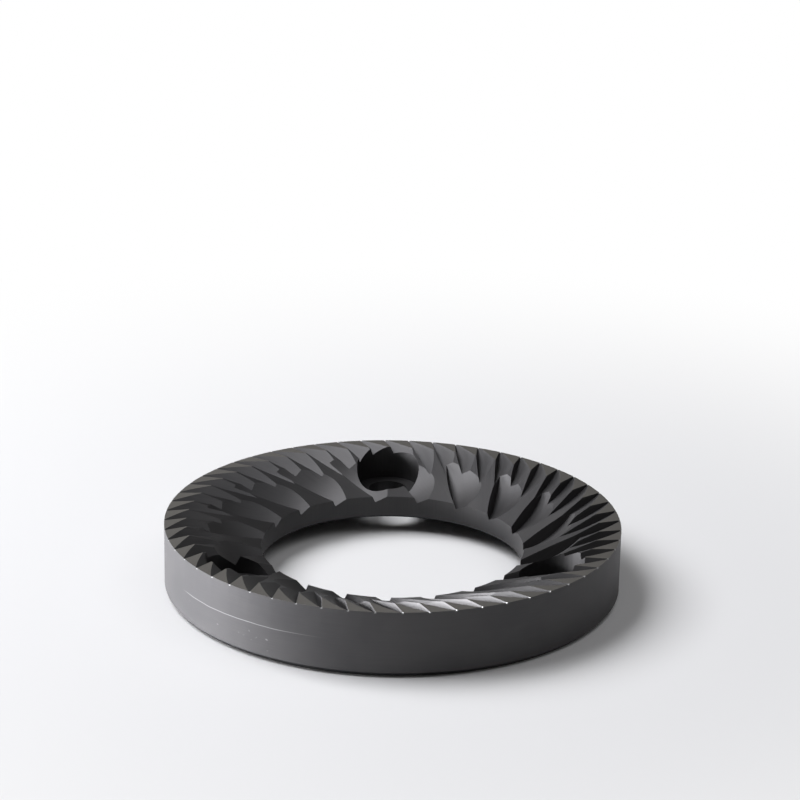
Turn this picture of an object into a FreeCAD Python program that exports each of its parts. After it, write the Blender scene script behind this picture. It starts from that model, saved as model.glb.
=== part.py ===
import FreeCAD, Part
import os
import Sketcher

# Flat grinding burr of a coffee grinder, milled from one ring of hard steel.
# It lies on its back: the rim of the back stands on z = 0, the teeth point up,
# and the Z axis is the axis of the bore. Millimetres and degrees.

SIZES = {
    # ring
    "outer_radius": 29.0,
    "height": 8.5,
    "bore_radius": 16.75,
    # turned dish that runs from the flat grinding face down to the bore
    "land_radius": 26.2,
    "dish_depth": 3.4,
    # back: outer chamfer, rim that it stands on, ledge and recess inside the rim
    "back_chamfer": 0.65,
    "rim_radius": 26.7,
    "ledge_radius": 26.15,
    "ledge_depth": 1.1,
    "recess_depth": 2.15,
    "bore_chamfer": 0.3,
    # form of the disc cutters that mill the teeth: one side is steep. A disc
    # comes in and goes out this far above the face
    "wall_lean": 20.0,
    "cutter_clearance": 0.5,
    # grinding teeth: fine grooves from the outer edge inwards
    "tooth_count": 56,
    "tooth_cutter": 32.0,
    "tooth_rise": 30.0,
    "tooth_form": 2.0,
    "tooth_slant": 23.6,
    "tooth_turn": 4.97,
    "groove_depth": 1.84,
    "rim_nick": 0.1,
    # breaker teeth: deeper grooves round the bore
    "breaker_count": 19,
    "breaker_cutter": 12.0,
    "breaker_rise": 30.0,
    "breaker_form": 4.9,
    "breaker_slant": 25.0,
    "breaker_turn": 1.5,
    "breaker_radius": 24.4,
    "breaker_start": 0.8,
    "breaker_depth": 4.2,
    # seats of the screws
    "screw_count": 3,
    "screw_circle_radius": 22.35,
    "screw_hole_radius": 2.5,
    "head_bore_radius": 4.15,
    "screw_web": 2.0,
}

doc = FreeCAD.newDocument("coffee_grinder_burr")
sheet = doc.addObject("Spreadsheet::Sheet", "Sizes")
for row, (name, value) in enumerate(SIZES.items(), start=1):
    sheet.set(f"A{row}", name)
    sheet.set(f"B{row}", str(value))
    sheet.setAlias(f"B{row}", name)
doc.recompute()


def formula(text):
    """The text as an expression, with each size read from the sheet."""
    return " ".join(f"Sizes.{word}" if word in SIZES else word for word in text.split())


def datum(body, role):
    """A plane or an axis of the body's own origin."""
    return next(item for item in body.Origin.OriginFeatures if item.Role == role)


def add_sketch(body, name, plane):
    sketch = body.newObject("Sketcher::SketchObject", name)
    sketch.AttachmentSupport = [(datum(body, plane), "")]
    sketch.MapMode = "FlatFace"
    return sketch


def constrain(sketch, kind, items, text):
    """A dimension of the sketch that follows the sheet."""
    index = sketch.addConstraint(Sketcher.Constraint(kind, *items, 1.0))
    sketch.setExpression(f"Constraints[{index}]", formula(text))


def place(sketch, point, across, up):
    """Dimension a point from the sketch's origin. None puts it on that axis."""
    if across is None:
        sketch.addConstraint(Sketcher.Constraint("PointOnObject", *point, -2))
    else:
        constrain(sketch, "DistanceX", (-1, 1, *point), across)
    if up is None:
        sketch.addConstraint(Sketcher.Constraint("PointOnObject", *point, -1))
    else:
        constrain(sketch, "DistanceY", (-1, 1, *point), up)


def outline(sketch, corners):
    """A closed outline through corners given as (x, y, across, up).

    x and y only sketch the shape, across and up are its dimensions.
    """
    count = len(corners)
    points = [FreeCAD.Vector(x, y, 0) for x, y, _, _ in corners]
    for i in range(count):
        sketch.addGeometry(Part.LineSegment(points[i], points[(i + 1) % count]), False)
    for i in range(count):
        sketch.addConstraint(Sketcher.Constraint("Coincident", i, 2, (i + 1) % count, 1))
    for i, (_, _, across, up) in enumerate(corners):
        place(sketch, (i, 1), across, up)


def pattern(body, feature, name, count):
    """Copies of a cut, evenly spaced round the bore's axis."""
    copies = body.newObject("PartDesign::PolarPattern", name)
    copies.Originals = [feature]
    copies.Axis = (datum(body, "Z_Axis"), [""])
    copies.Angle = 360
    copies.setExpression("Occurrences", formula(count))
    body.Tip = copies
    doc.recompute()
    return copies


def ring_blank(body):
    """The turned ring: its section, and one turn of it round the Z axis."""
    section = add_sketch(body, "ring_section", "XZ_Plane")
    outline(section, [
        (17, 3, "bore_radius", "recess_depth + bore_chamfer"),
        (18, 2, "bore_radius + bore_chamfer", "recess_depth"),
        (26, 2, "ledge_radius", "recess_depth"),
        (26, 1, "ledge_radius", "ledge_depth"),
        (27, 1, "rim_radius", "ledge_depth"),
        (27, 0, "rim_radius", None),
        (28, 0, "outer_radius - back_chamfer", None),
        (29, 1, "outer_radius", "back_chamfer"),
        (29, 8, "outer_radius", "height"),
        (26, 8, "land_radius", "height"),
        (17, 5, "bore_radius", "height - dish_depth"),
    ])
    ring = body.newObject("PartDesign::Revolution", "ring")
    ring.Profile = section
    ring.ReferenceAxis = (section, ["V_Axis"])
    ring.Angle = 360
    body.Tip = ring
    doc.recompute()
    return ring


def milled_groove(body, name, cutter, rise, tall, radius, start, depth, slant, turn):
    """One groove of the disc cutter.

    The cutter's axis is level and square to the groove, so that the bottom of
    the groove is an arc. It is at the depth start where it crosses the circle
    of the given radius, and at its full depth where it is deepest. The plane
    of the form stands at that deepest point, square to the groove.
    """
    form = add_sketch(body, f"{name}_form", "YZ_Plane")
    run = f"sqrt( {cutter} ^ 2 - ( {cutter} - {depth} + {start} ) ^ 2 )"
    side = f"- {radius} * sin( {slant} * 1deg )"
    along = f"( {radius} * cos( {slant} * 1deg ) - {run} )"
    bottom = f"height - {depth}"
    outline(form, [
        (-10, 7, side, bottom),
        (-9, 9, f"{side} + {tall} * tan( wall_lean * 1deg )", f"{bottom} + {tall}"),
        (-15, 9, f"{side} - {tall} / tan( {rise} * 1deg )", f"{bottom} + {tall}"),
    ])
    axle = form.addGeometry(
        Part.LineSegment(FreeCAD.Vector(-10, 39, 0), FreeCAD.Vector(0, 39, 0)), True)
    place(form, (axle, 1), side, f"{bottom} + {cutter}")
    place(form, (axle, 2), None, f"{bottom} + {cutter}")
    form.AttachmentOffset = FreeCAD.Placement(
        FreeCAD.Vector(1, 0, 1), FreeCAD.Rotation(FreeCAD.Vector(0, 1, 0), 1))
    form.setExpression("AttachmentOffset.Rotation.Angle", formula(f"{turn} * 1deg"))
    form.setExpression("AttachmentOffset.Base.x", formula(f"{along} * sin( {turn} * 1deg )"))
    form.setExpression("AttachmentOffset.Base.z", formula(f"{along} * cos( {turn} * 1deg )"))
    groove = body.newObject("PartDesign::Groove", name)
    groove.Profile = form
    groove.ReferenceAxis = (form, ["Axis0"])
    groove.Midplane = True
    groove.setExpression(
        "Angle", formula(f"2 * acos( ( {cutter} - {depth} - cutter_clearance ) / {cutter} )"))
    body.Tip = groove
    doc.recompute()
    return groove


def screw_seat(body, name, radius, floor):
    """A round hole of the screw circle, from its floor up through the teeth."""
    circle = add_sketch(body, f"{name}_circle", "XY_Plane")
    index = circle.addGeometry(Part.Circle(FreeCAD.Vector(0, 20, 0), FreeCAD.Vector(0, 0, 1), 2))
    place(circle, (index, 3), None, "screw_circle_radius")
    constrain(circle, "Radius", (index,), radius)
    circle.AttachmentOffset = FreeCAD.Placement(FreeCAD.Vector(0, 0, 1), FreeCAD.Rotation())
    circle.setExpression("AttachmentOffset.Base.z", formula(floor))
    seat = body.newObject("PartDesign::Pocket", name)
    seat.Profile = circle
    seat.Reversed = True
    seat.setExpression("Length", formula("height"))
    body.Tip = seat
    doc.recompute()
    return seat


body = doc.addObject("PartDesign::Body", "burr")
body.Label = "burr"
volumes = [ring_blank(body).Shape.Volume]

breaker = milled_groove(
    body, "breaker_groove", "breaker_cutter", "breaker_rise", "breaker_form", "breaker_radius",
    "breaker_start", "breaker_depth", "breaker_slant", "breaker_turn")
volumes.append(pattern(body, breaker, "breaker_teeth", "breaker_count").Shape.Volume)
groove = milled_groove(
    body, "grinding_groove", "tooth_cutter", "tooth_rise", "tooth_form", "outer_radius",
    "rim_nick", "groove_depth", "tooth_slant", "tooth_turn")
volumes.append(pattern(body, groove, "grinding_teeth", "tooth_count").Shape.Volume)
head_bore = screw_seat(body, "head_bore", "head_bore_radius", "recess_depth + screw_web")
volumes.append(pattern(body, head_bore, "head_bores", "screw_count").Shape.Volume)
screw_hole = screw_seat(body, "screw_hole", "screw_hole_radius", "recess_depth - screw_web")
volumes.append(pattern(body, screw_hole, "screw_holes", "screw_count").Shape.Volume)

doc.recompute()
for item in doc.Objects:
    if "Invalid" in item.State or "Error" in item.State:
        raise RuntimeError(f"{item.Name} did not compute")
if body.Shape.isNull() or not body.Shape.isValid() or len(body.Shape.Solids) != 1:
    raise RuntimeError("the burr is not one sound solid")
for before, after in zip(volumes, volumes[1:]):
    if after >= before:
        raise RuntimeError("a cut took nothing away")

body.Placement = FreeCAD.Placement(FreeCAD.Vector(0, 0, 0), FreeCAD.Rotation())
os.makedirs("parts", exist_ok=True)
body.Shape.exportStep(f"parts/{body.Label}.step")
print("volumes", [round(volume, 1) for volume in volumes])
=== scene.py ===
# %% [markdown]
# # A flat burr of a coffee grinder
#
# The burr is a thick ring of hard steel, 58 mm across, that lies on its back
# with its teeth up. It is one piece of metal, so there is one mesh here, and
# it comes from the frame with its true shape. What is left for Blender is the
# finish of the steel, the table that it lies on, the light and the camera.
# All lengths are in metres, Z is up, and the bore stands on the origin.

import math

import bpy
from mathutils import Matrix, Vector


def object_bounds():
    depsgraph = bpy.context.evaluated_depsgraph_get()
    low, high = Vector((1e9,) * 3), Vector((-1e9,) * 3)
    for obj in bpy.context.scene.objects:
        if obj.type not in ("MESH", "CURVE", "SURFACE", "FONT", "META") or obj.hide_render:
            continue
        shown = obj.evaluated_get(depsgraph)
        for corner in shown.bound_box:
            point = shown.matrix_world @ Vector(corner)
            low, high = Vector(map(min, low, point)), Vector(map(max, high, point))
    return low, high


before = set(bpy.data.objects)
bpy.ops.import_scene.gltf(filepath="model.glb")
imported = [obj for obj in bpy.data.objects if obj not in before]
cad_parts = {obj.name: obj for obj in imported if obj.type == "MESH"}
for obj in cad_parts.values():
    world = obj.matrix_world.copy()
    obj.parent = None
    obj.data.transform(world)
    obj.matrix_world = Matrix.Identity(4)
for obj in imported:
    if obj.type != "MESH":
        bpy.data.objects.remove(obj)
cad_low, cad_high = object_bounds()
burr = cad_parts["burr"]

mm = 0.001
outer_radius = cad_high.x
height = cad_high.z
print(f"ring {2 * outer_radius / mm:.1f} mm across, {height / mm:.1f} mm high")

# %% [markdown]
# ## Crisp edges, smooth curves
#
# The mesh is made of flat facets. A turned wall has to shade as one curve,
# while each edge between a tooth's land and its steep side stays sharp. The
# usual ways are to shade all of it smooth and mark the edges that bend by
# more than a given angle as sharp, or to add a bevel to each edge. The real
# teeth are ground sharp, so the edges are marked and not bevelled.

# %% Mark the sharp edges
sharp_bend = math.radians(14)
mesh = burr.data
mesh.shade_smooth()
mesh.set_sharp_from_angle(angle=sharp_bend)
sharp = sum(1 for edge in mesh.edges if edge.use_edge_sharp)
print(f"{sharp} of {len(mesh.edges)} edges are sharp, {len(mesh.polygons)} faces")

# %% [markdown]
# ## Sums on sockets
#
# A finish is worked out for each point of the surface, such as how far the
# point is from the bore's axis. With nodes alone that is a long row of Math
# nodes. The small class below wraps one output socket, so that the same sum
# is written as a line of Python, and each operator adds its node.

# %% A socket that can be calculated with
class Value:
    """One output socket of the tree that is being built."""

    tree = None

    def __init__(self, socket):
        self.socket = socket

    @classmethod
    def node(cls, kind, settings=None, out=0, **inputs):
        """A node of the given type, with its settings and its inputs.

        An input is named as Blender names it, with _ for a space, or by its
        number, as in in0. It is given a number, a vector or another Value.
        What comes back is the output of the given name or number.
        """
        made = cls.tree.nodes.new(kind)
        for key, value in (settings or {}).items():
            setattr(made, key, value)
        for key, value in inputs.items():
            by_number = key.startswith("in") and key[2:].isdigit()
            socket = made.inputs[int(key[2:]) if by_number else key.replace("_", " ")]
            if isinstance(value, Value):
                cls.tree.links.new(value.socket, socket)
            else:
                socket.default_value = value
        return cls(made.outputs[out])

    def math(self, operation, *others):
        inputs = {f"in{i}": value for i, value in enumerate(others, start=1)}
        return Value.node("ShaderNodeMath", {"operation": operation}, in0=self, **inputs)

    def __add__(self, other):
        return self.math("ADD", other)

    def __sub__(self, other):
        return self.math("SUBTRACT", other)

    def __mul__(self, other):
        return self.math("MULTIPLY", other)

    def __rsub__(self, other):
        return Value.node("ShaderNodeMath", {"operation": "SUBTRACT"}, in0=other, in1=self)

    def __rtruediv__(self, other):
        return Value.node("ShaderNodeMath", {"operation": "DIVIDE"}, in0=other, in1=self)

    __radd__ = __add__
    __rmul__ = __mul__

    def step(self, low, high):
        """0 at low, 1 at high, smooth between them. It falls if low is above high."""
        return Value.node("ShaderNodeMapRange", {"interpolation_type": "SMOOTHSTEP"},
                          Value=self, From_Min=low, From_Max=high)

    def parts(self):
        """The three numbers of a vector."""
        return [Value.node("ShaderNodeSeparateXYZ", out=axis, Vector=self) for axis in "XYZ"]


def vector(x, y, z):
    return Value.node("ShaderNodeCombineXYZ", X=x, Y=y, Z=z)


def noise(point, scale, detail=2.0):
    """Soft random values round 0.5. The scale is in bumps per unit of point."""
    return Value.node("ShaderNodeTexNoise", Vector=point, Scale=scale, Detail=detail)


def mix_color(amount, first, second):
    """The first color where amount is 0, the second where it is 1."""
    return Value.node("ShaderNodeMix", {"data_type": "RGBA"}, out=2,
                      in0=amount, in6=first, in7=second)


def mix_shader(amount, first, second):
    """The first shader where amount is 0, the second where it is 1."""
    return Value.node("ShaderNodeMixShader", in0=amount, in1=first, in2=second)


def position():
    """The point of the surface itself, in the object's own measures."""
    return Value.node("ShaderNodeTexCoord", out="Object")


def from_axis(x, y):
    """How far a point is from the bore's axis."""
    return (x * x + y * y).math("SQRT")


def connect(value, socket):
    Value.tree.links.new(value.socket, socket)


def new_material(name):
    """A new material. The sums that follow go into its tree."""
    material = bpy.data.materials.new(name)
    material.use_nodes = True
    Value.tree = material.node_tree
    return material, material.node_tree.nodes["Principled BSDF"]


print("sums on sockets are ready")

# %% [markdown]
# ## Where a point lies on the ring
#
# A lathe leaves its marks round the axis, and a cutter leaves them along the
# groove. So the finish is laid out in the ring's own measures: the radius,
# the angle round the axis and the height. The lines of the grooves all touch
# one circle round the axis. A point's own angle, plus the angle that this
# circle takes up at its radius, is the same all along a groove.

# %% The ring's measures as sockets
steel, shader = new_material("hard_steel")
point = position()
x, y, z = point.parts()
radius = from_axis(x, y)
angle = y.math("ARCTAN2", x)

groove_slant = math.radians(23.6)
touched_circle = outer_radius * math.sin(groove_slant)
groove_angle = angle + (touched_circle / radius).math("ARCSINE")
print(f"grooves touch a circle of {touched_circle / mm:.1f} mm radius")

# %% [markdown]
# ## The surfaces by name
#
# Each kind of surface has a finish of its own: the turned wall, the ground
# lands on top of the teeth, the back, the floor of the recess in the back,
# and the milled inside. One could give each its own material, by faces. A
# mask, which is 1 on the surface and 0 off it, needs no list of faces and
# fades over a hair's breadth, as a real edge does.

# %% Masks
facing_up = Value.node("ShaderNodeNewGeometry", out="Normal").parts()[2]
on_wall = radius.step(outer_radius - 0.06 * mm, outer_radius - 0.02 * mm)
nearly_level, level = 0.97, 0.995
at_top = z.step(height - 0.05 * mm, height - 0.01 * mm)
on_land = at_top * facing_up.step(nearly_level, level)
underneath = facing_up.step(-0.2, -0.5)
in_recess = underneath * z.step(0.3 * mm, 0.5 * mm)
inside = (1.0 - on_wall) * (1.0 - underneath)
print("masks for the wall, the lands, the back, the recess and the inside")

# %% [markdown]
# ## Marks of the lathe and of the cutter
#
# Both kinds of mark are noise that is stretched along one direction: fine
# across the marks and long along them. The wall and the back have rings from
# the lathe, the teeth have straight lines along their grooves. Each noise
# gets the cosine and the sine of an angle, not the angle itself, because the
# angle jumps from 180 to -180 degrees at one side of the ring.

# %% Streaks
def circle(turn, size):
    """A point that goes round a circle of the given size as turn grows."""
    return turn.math("COSINE") * size, turn.math("SINE") * size


along_wall, along_back, across_grooves = 0.6 * mm, 0.4 * mm, 30 * mm
along_groove = 0.04
wall_lines = noise(vector(*circle(angle, along_wall), z), scale=9000.0)
back_lines = noise(vector(*circle(angle, along_back), radius), scale=7000.0)
groove_place = vector(*circle(groove_angle, across_grooves), radius * along_groove)
cut_lines = noise(groove_place, scale=6000.0)
off_wall_lines = underneath * back_lines + (1.0 - underneath) * cut_lines
lines = on_wall * wall_lines + (1.0 - on_wall) * off_wall_lines

clouds = noise(point, scale=110.0, detail=3.0)
grain = noise(point, scale=8000.0)
print("streaks for the wall, the back and the grooves")

# %% [markdown]
# ## A scratch and some scuffs
#
# A handled burr has a few light marks. One long scratch runs round the left
# of the wall at half its height, and rises a little. Below it are some small
# scuffs. They could be cut into the mesh, but they are only about a tenth of
# a millimetre wide. So the scratch is a thin band round a height, cut off at
# both ends, and the scuffs are the peaks of a noise.

# %% Scratch and scuffs
turn = angle + math.pi
scratch_start, scratch_end = math.radians(25), math.radians(74)
short_fade, long_fade = 0.08, 0.3
fades_out = turn.step(scratch_end, scratch_end - long_fade)

scratch_low, scratch_rise, scratch_waver = 4.27 * mm, 0.4 * mm, 0.2 * mm
scratch_height = (scratch_low + (turn - scratch_start) * scratch_rise
                  + (noise(point, scale=250.0) - 0.5) * scratch_waver)
off_scratch = (z - scratch_height).math("ABSOLUTE")
scratch = (off_scratch.step(0.07 * mm, 0.02 * mm) * on_wall
           * turn.step(scratch_start, scratch_start + short_fade) * fades_out)

scuff_place = vector(*circle(angle, outer_radius * 0.5), z)
scuff_peaks = noise(scuff_place, scale=1500.0, detail=1.0).step(0.70, 0.78)
below_scratch = z.step(4.1 * mm, 3.6 * mm)
scuffs = (scuff_peaks * on_wall * below_scratch
          * turn.step(scratch_start, scratch_start + long_fade) * fades_out)
print("one scratch, with scuffs below it")

# %% [markdown]
# ## Rubbed tips with painted highlights
#
# The thin tips of the teeth at the rim are painted bright. This is partly the
# rubbing of wear and partly a painted highlight for the glint on each sharp
# tip. There is one where each groove leaves the rim, so the groove angle is
# folded into one spacing of the teeth, and what is near the fold is a tip.

# %% Tips of the teeth, with a painted highlight
tooth_count = 56
spacing = 2 * math.pi / tooth_count
first_groove = math.radians(4.97)
off_groove = (groove_angle - first_groove).math("PINGPONG", spacing / 2) * outer_radius
tips = (off_groove.step(0.18 * mm, 0.06 * mm)
        * z.step(height - 0.22 * mm, height - 0.12 * mm)
        * radius.step(outer_radius - 0.22 * mm, outer_radius - 0.10 * mm))

# The bare color carries the real scratch and scuffs, and the painted highlight on the tips.
scratch_shine, scuff_shine, tip_shine = 0.3, 0.25, 0.6
wear_and_glints = (scratch * scratch_shine).math("MAXIMUM", scuffs * scuff_shine)
wear_and_glints = wear_and_glints.math("MAXIMUM", tips * tip_shine)
print(tooth_count, "rubbed tips")

# %% [markdown]
# ## The color of the steel
#
# Hardened tool steel is a dark grey. A metal has no color of its own below
# the gloss, so the base color is the tint of what it reflects: here a very
# dark one. The milled sides of the teeth are painted darker than the turned
# wall. This is painted shade, standing for a shade and a dark reflection that
# the lamps here do not give them. The lands are ground last, so they are
# lighter and a little warmer. The floor of the recess in the back keeps the
# bluish skin of the hardening bath, with dark stains in the corner by the ledge.

# %% Base color
dark = (0.064, 0.063, 0.065, 1.0)
light = (0.085, 0.083, 0.084, 1.0)
# Painted shade: the milled sides are set darker than the turned steel.
shaded_cut_dark = (0.048, 0.0475, 0.049, 1.0)
shaded_cut_light = (0.066, 0.0645, 0.065, 1.0)
ground = (0.148, 0.142, 0.131, 1.0)
blued = (0.070, 0.071, 0.078, 1.0)
stained = (0.040, 0.040, 0.042, 1.0)
bare_and_glint = (0.42, 0.42, 0.42, 1.0)

cloud_share = 0.6
line_share = 0.4 - 0.2 * on_wall
tone = clouds.step(0.3, 0.7) * cloud_share + lines.step(0.3, 0.7) * line_share
turned = mix_color(tone, dark, light)
milled_in_shade = mix_color(tone, shaded_cut_dark, shaded_cut_light)
skin = mix_color(on_land, mix_color(inside, turned, milled_in_shade), ground)

by_ledge = radius.step(21.0 * mm, 25.5 * mm)
stains = noise(point, scale=260.0, detail=4.0).step(0.47, 0.66) * by_ledge
skin = mix_color(in_recess, skin, mix_color(stains, blued, stained))
connect(mix_color(wear_and_glints, skin, bare_and_glint), shader.inputs["Base Color"])
print("colors for the turned, milled, ground, blued, stained and rubbed steel")

# %% [markdown]
# ## The gloss of the steel
#
# The gloss is satin. It does more for the look than the color, because it
# spreads the light of the panel over the whole left side of the wall. The
# wall is the most matt, then the recess and the milled sides. The lines and a
# fine grain also raise the surface by hundredths of a millimetre. That is far
# too fine for a mesh, so it is a bump, which only tilts the light.

# %% Roughness and bump
satin = 0.38 + lines * (0.10 - 0.05 * on_wall) + clouds * 0.08
matt = on_wall * 0.15 + inside * 0.07 + in_recess * 0.10
connect(satin + matt, shader.inputs["Roughness"])
shader.inputs["Metallic"].default_value = 1.0

relief = lines * (0.7 - 0.4 * on_wall) + grain * 0.3 - wear_and_glints * 0.5
bump = Value.node("ShaderNodeBump", Strength=0.25, Distance=0.02 * mm, Height=relief)
connect(bump, shader.inputs["Normal"])

mesh.materials.clear()
mesh.materials.append(steel)
print("steel:", len(steel.node_tree.nodes), "nodes")

# %% [markdown]
# ## The table
#
# The burr lies on a white table that fades into a white background. A curved
# backdrop could do that, but it would only look right from the front. So the
# table is one large plane, level with the rim of the back.

# %% Table top
half = 3.0
corners = [(-half, -half, 0), (half, -half, 0), (half, half, 0), (-half, half, 0)]
floor_mesh = bpy.data.meshes.new("table_top")
floor_mesh.from_pydata(corners, [], [(0, 1, 2, 3)])
floor = bpy.data.objects.new("table_top", floor_mesh)
bpy.context.scene.collection.objects.link(floor)
print("table top", 2 * half, "m wide")

# %% [markdown]
# ## The table's paint
#
# Near the burr the table is plain white paint that takes the shadow. Farther
# out it turns to plain white, so that no horizon shows. More light could
# whiten it too, but that light would fall on the burr as well. The camera's
# rays and the rays that the steel mirrors both meet that white, because
# metal looks wrong when it mirrors another room than one sees.

# %% White paint that fades to plain white
def sees_backdrop():
    """1 for rays of the camera and for rays that are mirrored or go through."""
    kinds = ("Is Camera Ray", "Is Glossy Ray", "Is Transmission Ray")
    seen, mirrored, through = (Value.node("ShaderNodeLightPath", out=kind) for kind in kinds)
    return seen + mirrored + through


plain_white = (1.0, 1.0, 1.0, 1.0)
pale = (0.64, 0.64, 0.64, 1.0)
paint, paint_shader = new_material("white_paint")
paint_shader.inputs["Base Color"].default_value = pale
paint_shader.inputs["Roughness"].default_value = 0.6
paint_shader.inputs["Specular IOR Level"].default_value = 0.2

fade_start, fade_end = 42 * mm, 140 * mm
floor_x, floor_y, _ = position().parts()
away = from_axis(floor_x, floor_y).step(fade_start, fade_end)
glow = Value.node("ShaderNodeEmission", Color=plain_white)
blend = mix_shader(away * sees_backdrop(), Value(paint_shader.outputs[0]), glow)
connect(blend, Value.tree.nodes["Material Output"].inputs["Surface"])
floor_mesh.materials.append(paint)
print(f"the paint fades from {fade_start / mm:.0f} to {fade_end / mm:.0f} mm")

# %% [markdown]
# ## The room
#
# The world gives a faint, even light from all round. Near the horizon it is
# also a white backdrop, which is seen and mirrored but lights nothing matt.
# The height of a ray's direction tells how far over the horizon it points.
# White all over would be simpler, but then the steel would mirror white from
# above as well, and the dark sides of the teeth would turn pale.

# %% Even light and backdrop
world = bpy.data.worlds.new("room")
bpy.context.scene.world = world
world.use_nodes = True
Value.tree = world.node_tree
even = world.node_tree.nodes["Background"]
even.inputs["Color"].default_value = (1.0, 0.975, 0.955, 1.0)
even.inputs["Strength"].default_value = 0.11

backdrop = Value.node("ShaderNodeBackground", Color=plain_white, Strength=1.0)
white_up_to, gone_by = 0.08, 0.16
ray_height = Value.node("ShaderNodeTexCoord", out="Generated").parts()[2]
near_horizon = ray_height.step(gone_by, white_up_to)
room = mix_shader(sees_backdrop() * near_horizon, Value(even.outputs[0]), backdrop)
connect(room, world.node_tree.nodes["World Output"].inputs["Surface"])
print("an even room with a low white backdrop")

# %% [markdown]
# ## The lamps
#
# The light is a large window on the left and a weak fill over the right that
# keeps the shadow from going black. A long panel stands low on the left, for
# the wall to mirror. It is hidden from matt surfaces, or it would throw a
# long shadow across the table. All three are area lamps, because their size
# makes the shadow's edge soft.

# %% Window, panel and fill
def area_lamp(name, stand, width, tall, watts, lights_table=True):
    """A lamp that faces the middle of the burr."""
    lamp = bpy.data.lights.new(name, "AREA")
    lamp.color = (0.965, 0.97, 1.0)
    lamp.shape = "RECTANGLE"
    lamp.size, lamp.size_y = width, tall
    lamp.energy = watts
    made = bpy.data.objects.new(name, lamp)
    made.location = stand
    made.visible_diffuse = lights_table
    made.rotation_mode = "QUATERNION"
    middle = Vector((0.0, 0.0, height / 2))
    made.rotation_quaternion = (middle - Vector(stand)).to_track_quat("-Z", "Y")
    bpy.context.scene.collection.objects.link(made)


area_lamp("window", (-0.32, 0.10, 0.45), width=0.4, tall=0.4, watts=5.0)
area_lamp("panel", (-0.50, 0.05, 0.05), width=0.5, tall=0.08, watts=12.5, lights_table=False)
area_lamp("fill", (0.25, -0.05, 0.55), width=0.5, tall=0.5, watts=0.9)
print("a window, a panel and a fill")

# %% [markdown]
# ## The camera
#
# The photograph was taken with a long lens, from a little above the table and
# a little left of the screw hole at the back. The camera's place, the point
# that it aims at and its slight tilt were worked out from the outlines of
# the ring, the bore and the holes.

# %% Camera
camera_data = bpy.data.cameras.new("camera")
camera_data.sensor_width = 36.0
camera_data.lens = 135.0
camera_data.clip_start = 0.01
camera = bpy.data.objects.new("camera", camera_data)
camera.location = (-0.01259, -0.35349, 0.15179)

aim = Vector((0.00062, 0.0, 0.02475))
look = (aim - camera.location).to_track_quat("-Z", "Y").to_matrix()
slight_tilt = math.radians(1.066)
tilt = Matrix.Rotation(slight_tilt, 3, "Z")
camera.rotation_mode = "QUATERNION"
camera.rotation_quaternion = (look @ tilt).to_quaternion()
bpy.context.scene.collection.objects.link(camera)
bpy.context.scene.camera = camera
print("camera", round((aim - camera.location).length, 3), "m from its aim")

# %% [markdown]
# ## The end
#
# The color transform is the plain one, so that a color shows as it is set.

# %% Finish
bpy.context.scene.view_settings.view_transform = "Standard"
